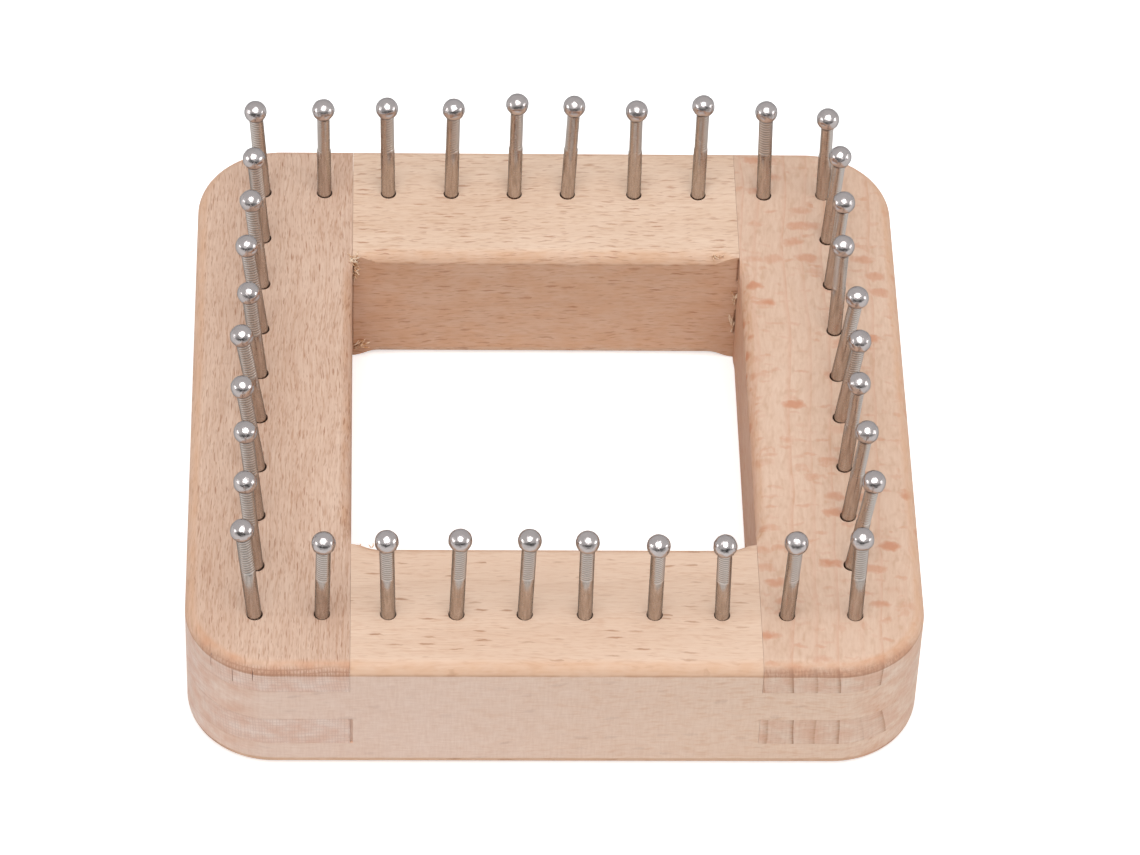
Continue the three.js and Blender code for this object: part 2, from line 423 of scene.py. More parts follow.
rails = {
    "rail_left": rail("beech_rail_left", (-FAR, -FAR, -FAR), (-INNER_X, FAR, FAR), side_slots(), []),
    "rail_right": rail("beech_rail_right", (INNER_X, -FAR, -FAR), (FAR, FAR, FAR), side_slots(), []),
    "rail_front": rail("beech_rail_front", (-FAR, -FAR, -FAR), (FAR, -INNER_Y, FAR),
                       cross_slots(), FRONT_SLITS),
    "rail_back": rail("beech_rail_back", (-FAR, INNER_Y, -FAR), (FAR, FAR, FAR),
                      cross_slots(), BACK_SLITS),
}
for node, wood in rails.items():
    finish_piece(wood, node)
for tool in (block, bit_path, drills):
    bpy.data.objects.remove(tool)

# %% [markdown]
# ## The nails
# The nail is drawn wire with a cold-struck ball for a head and a small fillet under it. While the head
# was struck, two jaws gripped the wire just below it. Each left a shallow hollow with fine ribs across
# it. The round shape is a profile turned with a spin. Then the points of the gripped stretch are pressed
# in to the jaws' faces, and the ball's points are moved a little by a noise, as a struck ball isn't true.

# %% Sizes of a nail
WIRE_RADIUS = 1 * MM
HEAD_RADIUS = 1.6 * MM
HEAD_STEPS = 20
NAIL_SIDES = 36
NAIL_CHAMFER = 0.4 * MM
NECK_FILLET = 0.35 * MM
FILLET_STEPS = 4
JAW_RADIUS = 1.3 * MM
GRIP_HALF = 0.9 * MM
GRIP_LENGTH = 6.3 * MM
GRIP_FADE = 0.35 * MM
RIB_PITCH = 0.45 * MM
RIB_HEIGHT = 0.09 * MM
STEPS_PER_RIB = 6
STEM_CUTS = 7
DENT = 0.055 * MM
WIDE_DENTS = 1.3
SMALL_DENTS = 3.1
SMALL_SHARE = 0.4
BALL_START = 0.02 * MM
STEEL_SHARP = math.radians(38)


# %% The nail's outline, with its head's top at z = 0
def nail_outline(length):
    fillet_x = WIRE_RADIUS + NECK_FILLET
    fillet_z = -HEAD_RADIUS - math.sqrt((HEAD_RADIUS + NECK_FILLET) ** 2 - fillet_x ** 2)
    outline = [(0, -length), (WIRE_RADIUS - NAIL_CHAMFER, -length),
               (WIRE_RADIUS, -length + NAIL_CHAMFER), (WIRE_RADIUS, fillet_z - GRIP_LENGTH)]
    to_head = math.atan2(-HEAD_RADIUS - fillet_z, -fillet_x)
    for i in range(FILLET_STEPS + 1):
        angle = math.pi + (to_head - math.pi) * i / FILLET_STEPS
        outline.append((fillet_x + NECK_FILLET * math.cos(angle), fillet_z + NECK_FILLET * math.sin(angle)))
    neck = to_head - math.pi
    for i in range(1, HEAD_STEPS + 1):
        angle = neck + (math.pi / 2 - neck) * i / HEAD_STEPS
        outline.append((HEAD_RADIUS * math.cos(angle), -HEAD_RADIUS + HEAD_RADIUS * math.sin(angle)))
    outline[-1] = (0, 0)
    return outline, fillet_z


# %% The jaws' marks and the ball's dents
# Three values are kept at each point for the finish: whether it is on the ball, how fully the jaws
# gripped it, and how deep it lies between two ribs, which sets a painted shade in the grooves. The seed
# gives each ball dents of its own.
def press_marks(bm, neck_z, seed, wear):
    grip = bm.verts.layers.float.new("grip")
    groove_shade = bm.verts.layers.float.new("groove_shade")
    polish = bm.verts.layers.float.new("polish")
    grip_z = neck_z - GRIP_LENGTH
    for v in bm.verts:
        v[polish] = 1.0 if v.co.z > neck_z + BALL_START else 0.0
        if v.co.z > neck_z + NECK_FILLET:
            wide = noise.noise(v.co / MM * WIDE_DENTS + seed)
            small = noise.noise(v.co / MM * SMALL_DENTS - seed)
            v.co += v.co.normalized() * DENT * wear * (wide + SMALL_SHARE * small)
        elif v.co.z > grip_z:
            depth = min((v.co.z - grip_z) / GRIP_FADE, 1)
            hollow = 0.5 - 0.5 * math.cos(2 * math.pi * v.co.z / RIB_PITCH)
            jaw = math.sqrt(JAW_RADIUS ** 2 - v.co.x ** 2) - JAW_RADIUS + GRIP_HALF
            jaw = jaw - RIB_HEIGHT * hollow
            round_y = math.sqrt(max(WIRE_RADIUS ** 2 - v.co.x ** 2, 0))
            pressed = round_y + (jaw - round_y) * depth
            if abs(v.co.y) > pressed:
                v[grip] = depth
                v[groove_shade] = hollow * depth
                v.co.y = math.copysign(pressed, v.co.y)


# %% One nail
def nail_piece(name, top, axis, length, turn, wear):
    bm = bmesh.new()
    outline, neck_z = nail_outline(length)
    verts = [bm.verts.new((x, 0, z)) for x, z in outline]
    edges = [bm.edges.new(pair) for pair in zip(verts, verts[1:])]
    stem, gripped = edges[2], edges[3]
    ribs = round(GRIP_LENGTH / RIB_PITCH)
    bmesh.ops.subdivide_edges(bm, edges=[gripped], cuts=ribs * STEPS_PER_RIB - 1)
    bmesh.ops.subdivide_edges(bm, edges=[stem], cuts=STEM_CUTS)
    bmesh.ops.spin(bm, geom=bm.verts[:] + bm.edges[:], cent=(0, 0, 0), axis=(0, 0, 1),
                   angle=2 * math.pi, steps=NAIL_SIDES, use_merge=True)
    bmesh.ops.remove_doubles(bm, verts=bm.verts[:], dist=WELD)
    bmesh.ops.recalc_face_normals(bm, faces=bm.faces[:])
    press_marks(bm, neck_z, Vector((turn, length * 50, top.x * 900)), wear)
    place = Matrix.Translation(top) @ axis.to_track_quat("Z", "Y").to_matrix().to_4x4()
    place = place @ Matrix.Rotation(math.radians(turn), 4, "Z")
    bmesh.ops.transform(bm, matrix=place, verts=bm.verts[:])
    for face in bm.faces:
        face.smooth = True
    nail = make_object(name, bm)
    nail.data.set_sharp_from_angle(angle=STEEL_SHARP)
    return nail


# %% [markdown]
# The jaws' marks face every way, because nobody turns a nail before pushing it in. The lists give each
# row's turns in degrees, where 0 faces the front and back of the loom.

# %% Set all the nails
TURNS = {
    "front": [-40, -30, 4, 2, -6, 3, 38, -4, 28, 24],
    "back": [62, 88, 30, 60, 66, -62, 58, 64, -58, 90],
    "left": [-72, -66, -78, -60, -74, -68, -80, -70],
    "right": [-58, -50, -40, -62, -48, -56, -44, -60],
}
chance = random.Random(3)
for name, (top, axis, length) in nails.items():
    row, number = name.split("_")[1:]
    turn = TURNS[row][int(number) - 1]
    wear = chance.uniform(0.6, 2.2)
    nail = nail_piece(f"ball_nail_{row}_{number}", top, axis, length, turn, wear)
    finish_piece(nail, name)
print("set", len(nails), "nails")

# %% [markdown]
# ## Torn fibres
# Where the router left the wood across the grain it tore a few fibres, and they were never cleaned off.
# They stand in the opening's far corners and on its edges, and some lie along the open glue lines.
# Each is a thin six-sided thread, made by pulling a small circle along a bent path and thinning it.

# %% Threads of wood
FIBRE_SIDES = 6
FIBRE_STEPS = 6
THINNER = 0.94
TIP = 0.3


def thread(bm, start, way, length, radius, curl, chance):
    way = Vector(way).normalized()
    turn = way.to_track_quat("Z", "Y").to_matrix().to_4x4()
    made = bmesh.ops.create_circle(bm, cap_ends=True, segments=FIBRE_SIDES, radius=radius,
                                   matrix=Matrix.Translation(start) @ turn)
    face = made["verts"][0].link_faces[0]
    bend = Vector((chance.uniform(-1, 1), chance.uniform(-1, 1), chance.uniform(-1, 1))) * curl
    for step in range(1, FIBRE_STEPS + 1):
        grown = bmesh.ops.extrude_face_region(bm, geom=[face])["geom"]
        verts = points_of(grown)
        way = (way + bend / FIBRE_STEPS).normalized()
        bmesh.ops.translate(bm, verts=verts, vec=way * length / FIBRE_STEPS)
        middle = sum((v.co for v in verts), Vector()) / len(verts)
        thin = THINNER if step < FIBRE_STEPS else TIP
        bmesh.ops.scale(bm, verts=verts, vec=(thin, thin, thin), space=Matrix.Translation(-middle))
        if step > 1:
            bm.faces.remove(face)
        face = first_face(grown)


# Each tuft: its middle and its spread in mm, the way it leans, the length and radius of its threads in
# mm, how far they curl, and how many there are.
STRAY = 0.35
TUFTS = [
    ((-27.7, 27.2, 20.2), (0.35, 0.4, 0.35), (-0.15, -0.5, 0.8), 1.2, 0.1, 3.0, 26),
    ((-27.45, 27.45, 18.0), (0.15, 0.15, 1.7), (0.45, -0.7, 0.1), 1.0, 0.1, 3.0, 34),
    ((-27.2, 27.5, 1.9), (0.35, 0.08, 0.4), (0.6, -0.2, 0.8), 2.1, 0.15, 0.5, 9),
    ((27.35, 27.5, 11.8), (0.06, 0.08, 1.3), (-0.03, -0.1, 1.0), 1.9, 0.12, 0.3, 9),
    ((27.3, 27.55, 6.3), (0.05, 0.05, 0.9), (-0.02, -0.03, 1.0), 2.2, 0.12, 0.2, 9),
    ((24.6, 28.2, 20.1), (0.7, 0.25, 0.1), (0.3, -0.5, 0.7), 0.8, 0.09, 1.2, 12),
    ((-25.0, -28.0, 20.2), (0.3, 0.2, 0.1), (0.1, 0.5, 0.8), 0.6, 0.09, 0.9, 4),
    ((-26.9, -27.7, 20.0), (0.5, 0.1, 0.1), (0.4, 0.6, 0.6), 0.4, 0.07, 1.0, 4),
]


def torn_fibres():
    chance = random.Random(7)
    bm = bmesh.new()
    for middle, spread, lean, length, radius, curl, count in TUFTS:
        for _ in range(count):
            start = [m + chance.uniform(-s, s) for m, s in zip(middle, spread)]
            way = [w + chance.uniform(-STRAY, STRAY) for w in lean]
            size = chance.uniform(0.6, 1.2)
            thread(bm, Vector(start) * MM, way, length * size * MM, radius * size * MM, curl, chance)
    bmesh.ops.recalc_face_normals(bm, faces=bm.faces[:])
    for face in bm.faces:
        face.smooth = True
    return make_object("torn_beech_fibres", bm)


fibres = torn_fibres()
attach(fibres, "root")
print("fibres", len(fibres.data.polygons), "faces")

# %% [markdown]
# ## Colours and nodes
# Colours are written as the sRGB hex values that a colour picker shows, and one function turns them into
# the linear values that light adds up in. One more function adds a node, sets its fields and joins its
# inputs, so that every material below reads as a list of steps. It returns the node's first output, or
# the one that `out` names, or with `out=None` the node itself. A Mix node for colours takes them at
# inputs 6 and 7 and gives its result at output 2. A Map Range node has the range it reads at 1 and 2
# and the range it gives at 3 and 4. Noise scales are in waves a metre on an object's own coordinates,
# and in waves a millimetre in the wood's space, which is in millimetres.

# %% Two helpers for materials
MIX_A, MIX_B = 6, 7
RGBA = {"out": 2, "data_type": "RGBA"}


def srgb(code):
    channels = [int(code[i:i + 2], 16) / 255 for i in (1, 3, 5)]
    linear = [c / 12.92 if c <= 0.04045 else ((c + 0.055) / 1.055) ** 2.4 for c in channels]
    return (*linear, 1)


def add(tree, kind, inputs, out=0, **settings):
    node = tree.nodes.new("ShaderNode" + kind)
    for key, value in settings.items():
        setattr(node, key, value)
    for key, value in inputs.items():
        if isinstance(value, bpy.types.NodeSocket):
            tree.links.new(value, node.inputs[key])
        else:
            node.inputs[key].default_value = value
    return node if out is None else node.outputs[out]


def new_material(name):
    material = bpy.data.materials.new(name)
    material.use_nodes = True
    tree = material.node_tree
    return material, tree, tree.nodes["Principled BSDF"]


# %% [markdown]
# ## Steamed beech
# Beech is pale, pinkish and very even. What makes it look like beech is its rays: flat ribbons of cells
# that run from the heart of the tree to the bark. Cut across their edges, on a flat-sawn face, they are
# short dark dashes. Cut along their sides, on a quarter-sawn face, they are soft reddish flecks. On end
# grain they are fine lines across the rings. All three come from one solid pattern, because a rail's
# faces are cuts through one piece of wood: each ray is a thin lens in three dimensions, and the surface
# shows whatever part of it the saw met. A cell pattern gives every lens its middle.

# %% The wood's own axes: along the grain, across the rings, and along the rings
def grain_space(tree, axes, offset, tilt):
    here = add(tree, "TexCoord", {}, out="Object")
    mm = add(tree, "Mapping", {"Vector": here, "Location": offset, "Rotation": tilt,
                               "Scale": (1000, 1000, 1000)}, vector_type="POINT")
    parts = add(tree, "SeparateXYZ", {0: mm}, out=None).outputs
    along, rings, tangent = (parts[a] for a in axes)
    straight = add(tree, "CombineXYZ", {0: along, 1: rings, 2: tangent})
    wander = add(tree, "TexNoise", {"Vector": straight, "Scale": 0.05, "Detail": 2}, out="Color")
    wander = add(tree, "VectorMath", {0: wander, 1: (0.5, 0.5, 0.5)}, operation="SUBTRACT")
    wander = add(tree, "VectorMath", {0: wander, 1: (0, 3.0, 2.0)}, operation="MULTIPLY")
    return add(tree, "VectorMath", {0: straight, 1: wander})


def stretched_noise(tree, space, scale, low, high, detail=2):
    space = add(tree, "VectorMath", {0: space, 1: scale}, operation="MULTIPLY")
    noise_value = add(tree, "TexNoise", {"Vector": space, "Scale": 1, "Detail": detail,
                                         "Roughness": 0.6})
    return add(tree, "MapRange", {0: noise_value, 1: low, 2: high, 3: 0, 4: 1})


# %% One layer of rays
def ray_layer(tree, grain, cell, half, chance, show, soft):
    scaled = add(tree, "VectorMath", {0: grain, 1: cell}, operation="DIVIDE")
    cells = add(tree, "TexVoronoi", {"Vector": scaled, "Scale": 1, "Randomness": 0.9}, out=None)
    away = add(tree, "VectorMath", {0: scaled, 1: cells.outputs["Position"]}, operation="SUBTRACT")
    ratio = [c / h for c, h in zip(cell, half)]
    away = add(tree, "VectorMath", {0: away, 1: ratio}, operation="MULTIPLY")
    parts = add(tree, "SeparateXYZ", {0: away}, out=None).outputs
    total = add(tree, "Math", {0: parts[2]}, operation="ABSOLUTE")
    for part in parts[:2]:
        total = add(tree, "Math", {0: part, 1: part, 2: total}, operation="MULTIPLY_ADD")
    lens = add(tree, "MapRange", {0: total, 1: 1.0, 2: 1.0 - soft, 3: 0, 4: show})
    luck = add(tree, "SeparateColor", {0: cells.outputs["Color"]}, out=None).outputs
    shown = add(tree, "MapRange", {0: luck[0], 1: 1 - chance, 2: 1, 3: 0, 4: 1})
    shown = add(tree, "Math", {0: shown, 1: 0.4}, operation="POWER")
    return add(tree, "Math", {0: lens, 1: shown}, operation="MULTIPLY")


def all_rays(tree, grain, layers):
    wobble = add(tree, "TexNoise", {"Vector": grain, "Scale": 0.8, "Detail": 2}, out="Color")
    wobble = add(tree, "VectorMath", {0: wobble, 1: (0.5, 0.5, 0.5)}, operation="SUBTRACT")
    wobble = add(tree, "VectorMath", {0: wobble, 1: (1.4, 2.4, 0.35)}, operation="MULTIPLY")
    bent = add(tree, "VectorMath", {0: grain, 1: wobble})
    found = 0.0
    for layer in layers:
        found = add(tree, "Math", {0: found, 1: ray_layer(tree, bent, *layer)}, operation="MAXIMUM")
    return found


# %% Growth rings: the dark late wood at each ring's edge, and a tone for each ring
# A slow noise makes some years wider than others.
def growth_rings(tree, grain, pitch):
    slow = add(tree, "VectorMath", {0: grain, 1: (0.02, 0.08, 0.08)}, operation="MULTIPLY")
    wave = add(tree, "TexNoise", {"Vector": slow, "Scale": 1, "Detail": 1})
    across = add(tree, "SeparateXYZ", {0: grain}, out=1)
    across = add(tree, "Math", {0: wave, 1: 2.5, 2: across}, operation="MULTIPLY_ADD")
    rings = add(tree, "Math", {0: across, 1: pitch}, operation="DIVIDE")
    years = add(tree, "TexNoise", {"W": rings, "Scale": 0.55, "Detail": 1}, noise_dimensions="1D")
    rings = add(tree, "Math", {0: years, 1: 1.2, 2: rings}, operation="MULTIPLY_ADD")
    number = add(tree, "Math", {0: rings}, operation="FLOOR")
    tone = add(tree, "TexWhiteNoise", {"W": number}, noise_dimensions="1D")
    within = add(tree, "Math", {0: rings}, operation="FRACT")
    late = add(tree, "MapRange", {0: within, 1: 0.5, 2: 0.96, 3: 0, 4: 1})
    late = add(tree, "Math", {0: late, 1: 2.2}, operation="POWER")
    drop = add(tree, "MapRange", {0: within, 1: 0.95, 2: 1.0, 3: 1, 4: 0})
    late = add(tree, "Math", {0: late, 1: drop}, operation="MULTIPLY")
    strength = add(tree, "MapRange", {0: tone, 1: 0, 2: 1, 3: 0.3, 4: 1})
    return add(tree, "Math", {0: late, 1: strength}, operation="MULTIPLY"), tone


# %% Facing: how squarely a face cuts an axis
def facing(tree, axis, low, high):
    normal = add(tree, "TexCoord", {}, out="Normal")
    part = add(tree, "SeparateXYZ", {0: normal}, out=axis)
    size = add(tree, "Math", {0: part}, operation="ABSOLUTE")
    return add(tree, "MapRange", {0: size, 1: low, 2: high, 3: 0, 4: 1})


# %% [markdown]
# ## What the tools leave
# The same wood looks different where different tools have been. The belt sander leaves the upright
# outside faces pale and a little furry, with fine crossed scratches; that pale coat also holds a painted
# sheen that brightens those faces. The rounded outer edges are drawn a shade warmer and darker, and where
# the router crosses end grain it rubs the fibres brown. The inside of the opening is drawn darker and more
# orange: a painted shade, coloured like light bounced off the wood around it. The masks below read the
# way each face points and how far out it is.

# %% Masks that tell which tool shaped a spot
OUTSIDE = 35 * MM


def tool_masks(tree):
    here = add(tree, "TexCoord", {}, out="Object")
    place = add(tree, "SeparateXYZ", {0: here}, out=None).outputs
    reach = add(tree, "Math", {0: add(tree, "Math", {0: place[0]}, operation="ABSOLUTE"),
                               1: add(tree, "Math", {0: place[1]}, operation="ABSOLUTE")},
                operation="MAXIMUM")
    outer = add(tree, "MapRange", {0: reach, 1: OUTSIDE - MM, 2: OUTSIDE + MM, 3: 0, 4: 1})
    level = facing(tree, 2, 0, 1)
    upright_face = add(tree, "MapRange", {0: level, 1: 0.14, 2: 0.05, 3: 0, 4: 1})
    low_slope = add(tree, "MapRange", {0: level, 1: 0.05, 2: 0.14, 3: 0, 4: 1})
    top_slope = add(tree, "MapRange", {0: level, 1: 0.85, 2: 0.5, 3: 0, 4: 1})
    slope = add(tree, "Math", {0: low_slope, 1: top_slope}, operation="MULTIPLY")
    strokes = stretched_noise(tree, here, (3300, 3300, 420), 0.33, 0.67, detail=4)
    level_strokes = stretched_noise(tree, here, (480, 480, 3700), 0.33, 0.67, detail=4)
    crossed = add(tree, "Math", {0: strokes, 1: level_strokes}, operation="ADD")
    return {
        "here": here,
        "x": place[0],
        "height": place[2],
        "outer": outer,
        "level": level,
        "low_slope": low_slope,
        "upright_face": upright_face,
        "patchy": stretched_noise(tree, here, (300, 300, 500), 0.35, 0.65),
        "routed": add(tree, "MapRange", {0: level, 1: 0.99, 2: 0.88, 3: 0, 4: 1}),
        "sanded": add(tree, "Math", {0: upright_face, 1: outer}, operation="MULTIPLY"),
        "sloping_outside": add(tree, "Math", {0: slope, 1: outer}, operation="MULTIPLY"),
        "strokes": strokes,
        "crossed": add(tree, "MapRange", {0: crossed, 1: -0.1, 2: 2.1, 3: 0, 4: 1}),
    }


# %% The rounded outer edges, drawn a shade warmer and darker
def routed_edges(tree, colour, masks):
    warm = add(tree, "Mix", {0: 1.0, MIX_A: colour, MIX_B: srgb("#f9f4f1")},
               blend_type="MULTIPLY", **RGBA)
    warmer = add(tree, "Mix", {0: 1.0, MIX_A: colour, MIX_B: srgb("#f4e6d9")},
                 blend_type="MULTIPLY", **RGBA)
    warmth = add(tree, "Mix", {0: masks["patchy"], MIX_A: warm, MIX_B: warmer}, **RGBA)
    colour = add(tree, "Mix", {0: masks["routed"], MIX_A: colour, MIX_B: warmth}, **RGBA)
    # The rounded outer edges are drawn darker and more orange.
    smooth = add(tree, "Math", {0: masks["routed"], 1: masks["outer"]}, operation="MULTIPLY")
    smooth = add(tree, "Math", {0: smooth, 1: 0.36}, operation="MULTIPLY")
    return add(tree, "Mix", {0: smooth, MIX_A: colour, MIX_B: srgb("#e3bb9c")}, **RGBA)


# %% The sander's dust, with a painted pale sheen that brightens the upright outside faces; the dust covers less where the wood is hard or worn
def dust_and_painted_sheen(tree, colour, masks, end_axis, ring_line, flecks):
    # These pale greyish colours are sanding dust and also a painted sheen that makes the upright outside
    # faces brighter.
    grey = add(tree, "Mix", {0: masks["crossed"], MIX_A: srgb("#f4e4dc"), MIX_B: srgb("#dcc4ba")},
               **RGBA)
    warm = add(tree, "Mix", {0: masks["crossed"], MIX_A: srgb("#f4e1d0"), MIX_B: srgb("#dcc0aa")},
               **RGBA)
    side = add(tree, "MapRange", {0: masks["x"], 1: -20 * MM, 2: 30 * MM, 3: 0.15, 4: 0.85})
    dust_and_sheen = add(tree, "Mix", {0: side, MIX_A: grey, MIX_B: warm}, **RGBA)
    end_face = facing(tree, end_axis, 0.6, 0.9)
    cover = add(tree, "MapRange", {0: end_face, 1: 0, 2: 1, 3: 0.62, 4: 0.72})
    thin = stretched_noise(tree, masks["here"], (45, 45, 70), 0.3, 0.7)
    cover = add(tree, "Math", {0: thin, 1: -0.08, 2: cover}, operation="MULTIPLY_ADD")
    worn = add(tree, "Math", {0: flecks, 1: side}, operation="MULTIPLY")
    cover = add(tree, "Math", {0: worn, 1: -0.4, 2: cover}, operation="MULTIPLY_ADD")
    rubbed = add(tree, "Math", {0: ring_line, 1: end_face}, operation="MULTIPLY")
    cover = add(tree, "Math", {0: rubbed, 1: -0.55, 2: cover}, operation="MULTIPLY_ADD",
                use_clamp=True)
    cover = add(tree, "Math", {0: cover, 1: masks["sanded"]}, operation="MULTIPLY")
    return add(tree, "Mix", {0: cover, MIX_A: colour, MIX_B: dust_and_sheen}, **RGBA)


# %% Painted shade on the inside of the opening: darker and more orange, coloured like light bounced off the wood, and more orange towards its foot
def painted_opening_shade(tree, colour, masks):
    opening_shade = add(tree, "Math", {0: masks["upright_face"], 1: masks["sanded"]},
                 operation="SUBTRACT", use_clamp=True)
    foot = add(tree, "MapRange", {0: masks["height"], 1: 1.5 * MM, 2: 4 * MM, 3: 1, 4: 0})
    # This tint is a painted shade with the colour of bounce light, more orange towards the foot.
    tint = add(tree, "Mix", {0: foot, MIX_A: srgb("#c08c6b"), MIX_B: srgb("#c4824f")}, **RGBA)
    opening_shade = add(tree, "Math", {0: opening_shade, 1: 0.27}, operation="MULTIPLY")
    return add(tree, "Mix", {0: opening_shade, MIX_A: colour, MIX_B: tint}, **RGBA)


# %% The router's rub marks: a blush near the end grain, brown strokes across it, a dark lower line
def rub_marks(tree, colour, masks, end_axis):
    blush = add(tree, "Math", {0: facing(tree, end_axis, 0.12, 0.45), 1: masks["routed"]},
                operation="MULTIPLY")
    blush = add(tree, "Math", {0: blush, 1: masks["patchy"]}, operation="MULTIPLY")
    blush = add(tree, "Math", {0: blush, 1: 0.38}, operation="MULTIPLY")
    blush = add(tree, "Math", {0: blush, 1: masks["outer"]}, operation="MULTIPLY")
    colour = add(tree, "Mix", {0: blush, MIX_A: colour, MIX_B: srgb("#cf8f6c")}, **RGBA)

    strokes = add(tree, "MapRange", {0: masks["strokes"], 1: 0, 2: 1, 3: 0.2, 4: 0.8})
    burnt = add(tree, "Math", {0: masks["sloping_outside"], 1: facing(tree, end_axis, 0.35, 0.65)},
                operation="MULTIPLY")
    burnt = add(tree, "Math", {0: burnt, 1: strokes}, operation="MULTIPLY")
    colour = add(tree, "Mix", {0: burnt, MIX_A: colour, MIX_B: srgb("#b08168")}, **RGBA)

    rim = add(tree, "MapRange", {0: masks["level"], 1: 0.3, 2: 0.1, 3: 0, 4: 1})
    rim = add(tree, "Math", {0: rim, 1: masks["low_slope"]}, operation="MULTIPLY")
    broken = add(tree, "MapRange", {0: masks["patchy"], 1: 0, 2: 1, 3: 0.35, 4: 1})
    rim = add(tree, "Math", {0: rim, 1: broken}, operation="MULTIPLY")
    upper = add(tree, "MapRange", {0: masks["height"], 1: 8 * MM, 2: 12 * MM, 3: 0.12, 4: 0.75})
    rim = add(tree, "Math", {0: rim, 1: upper}, operation="MULTIPLY")
    return add(tree, "Mix", {0: rim, MIX_A: colour, MIX_B: srgb("#a9785c")}, **RGBA)


# %% [markdown]
# ## The two colours of a cut
# Along the grain the wood shows fibres, rays and faint ring tones. Across it, on end grain, the rays are
# fine lines about 0.4 mm apart, crossed by fainter rows of cells, and each ring ends in a brown line.
# The real vessels are about 0.05 mm wide, too fine to show, so the fibres and pores are drawn several
# times as coarse.

# %% The wood cut along the grain
RAY_LINE_SPACING = 0.42
CELL_ROW_SPACING = 0.6


def long_grain(tree, grain, wood, fibre, flecks, late, streak):
    cloud = stretched_noise(tree, grain, (0.03, 0.12, 0.12), 0.3, 0.7)
    tone = add(tree, "Math", {0: cloud, 1: 0.35}, operation="MULTIPLY")
    tone = add(tree, "Math", {0: fibre, 1: wood["fibre_show"], 2: tone}, operation="MULTIPLY_ADD")
    tone = add(tree, "Math", {0: flecks, 1: wood["fleck_show"], 2: tone}, operation="MULTIPLY_ADD")
    colour = add(tree, "Mix", {0: tone, MIX_A: srgb(wood["light"]), MIX_B: srgb(wood["dark"])}, **RGBA)
    ring_tint = add(tree, "Math", {0: late, 1: wood["ring_show"]}, operation="MULTIPLY")
    tint = add(tree, "Math", {0: streak, 1: ring_tint}, operation="MAXIMUM")
    return add(tree, "Mix", {0: tint, MIX_A: colour, MIX_B: srgb(wood["ray"])}, **RGBA)


# %% The wood cut across the grain
def end_grain(tree, grain, wood, ring_tone, ring_line):
    parts = add(tree, "SeparateXYZ", {0: grain}, out=None).outputs
    ray_lines = (parts[2], RAY_LINE_SPACING, wood["line_show"])
    cell_rows = (parts[1], CELL_ROW_SPACING, wood["line_show"] * 0.7)
    tone = 0.0
    for part, spacing, show in (ray_lines, cell_rows):
        edge = add(tree, "TexVoronoi", {"W": part, "Scale": 1 / spacing}, voronoi_dimensions="1D",
                   feature="DISTANCE_TO_EDGE")
        line = add(tree, "MapRange", {0: edge, 1: 0.05, 2: 0.22, 3: show, 4: 0})
        tone = add(tree, "Math", {0: line, 1: tone}, operation="ADD")
    pores = stretched_noise(tree, grain, (0.05, 1.2, 3.2), 0.4, 0.7)
    tone = add(tree, "Math", {0: pores, 1: 0.15, 2: tone}, operation="MULTIPLY_ADD")
    tone = add(tree, "Math", {0: ring_tone, 1: wood["ring_show"], 2: tone}, operation="MULTIPLY_ADD")
    colour = add(tree, "Mix", {0: tone, MIX_A: srgb(wood["end_light"]), MIX_B: srgb(wood["end_dark"])},
                 **RGBA)
    return add(tree, "Mix", {0: ring_line, MIX_A: colour, MIX_B: srgb("#774a34")}, **RGBA)


# %% The beech of one rail
def beech(wood):
    material, tree, shader = new_material(wood["name"])
    end_axis = wood["axes"][0]
    grain = grain_space(tree, wood["axes"], wood["offset"], wood["tilt"])
    fibre = stretched_noise(tree, grain, (wood["fibre_step"], 2.4, 3.8), 0.33, 0.67, detail=3)
    flecks = stretched_noise(tree, grain, (0.55, 1.2, 4.5), 0.5, 0.72, detail=1)
    late, ring_tone = growth_rings(tree, grain, wood["pitch"])
    streak = all_rays(tree, grain, wood["rays"])
    ring_line = add(tree, "Math", {0: late, 1: 3.3 * wood["ring_show"]}, operation="MULTIPLY",
                    use_clamp=True)
    along = long_grain(tree, grain, wood, fibre, flecks, late, streak)
    across = end_grain(tree, grain, wood, ring_tone, ring_line)
    colour = add(tree, "Mix", {0: facing(tree, end_axis, 0.62, 0.86), MIX_A: along, MIX_B: across},
                 **RGBA)

    masks = tool_masks(tree)
    colour = routed_edges(tree, colour, masks)
    colour = dust_and_painted_sheen(tree, colour, masks, end_axis, ring_line, flecks)
    colour = painted_opening_shade(tree, colour, masks)
    colour = rub_marks(tree, colour, masks, end_axis)
    tree.links.new(colour, shader.inputs["Base Color"])

    shader.inputs["IOR"].default_value = 1.5
    gloss = add(tree, "MapRange", {0: fibre, 1: 0, 2: 1, 3: 0.5, 4: 0.66})
    tree.links.new(gloss, shader.inputs["Roughness"])
    scratches = add(tree, "Math", {0: masks["crossed"], 1: masks["sanded"]}, operation="MULTIPLY")
    relief = add(tree, "Math", {0: streak, 1: 0.6, 2: fibre}, operation="MULTIPLY_ADD")
    relief = add(tree, "Math", {0: scratches, 1: 0.6, 2: relief}, operation="MULTIPLY_ADD")
    bump = add(tree, "Bump", {"Height": relief, "Strength": 0.6, "Distance": 0.03 * MM})
    tree.links.new(bump, shader.inputs["Normal"])
    return material


# %% [markdown]
# ## The four sticks
# No two sticks come from the same board. Each has its own colours, its own rays and its own place in the
# log. The left stick is flat-sawn and the darkest, the front and back are pale and flat-sawn, and the
# right one is quarter-sawn, so its top shows the broad sides of the rays.

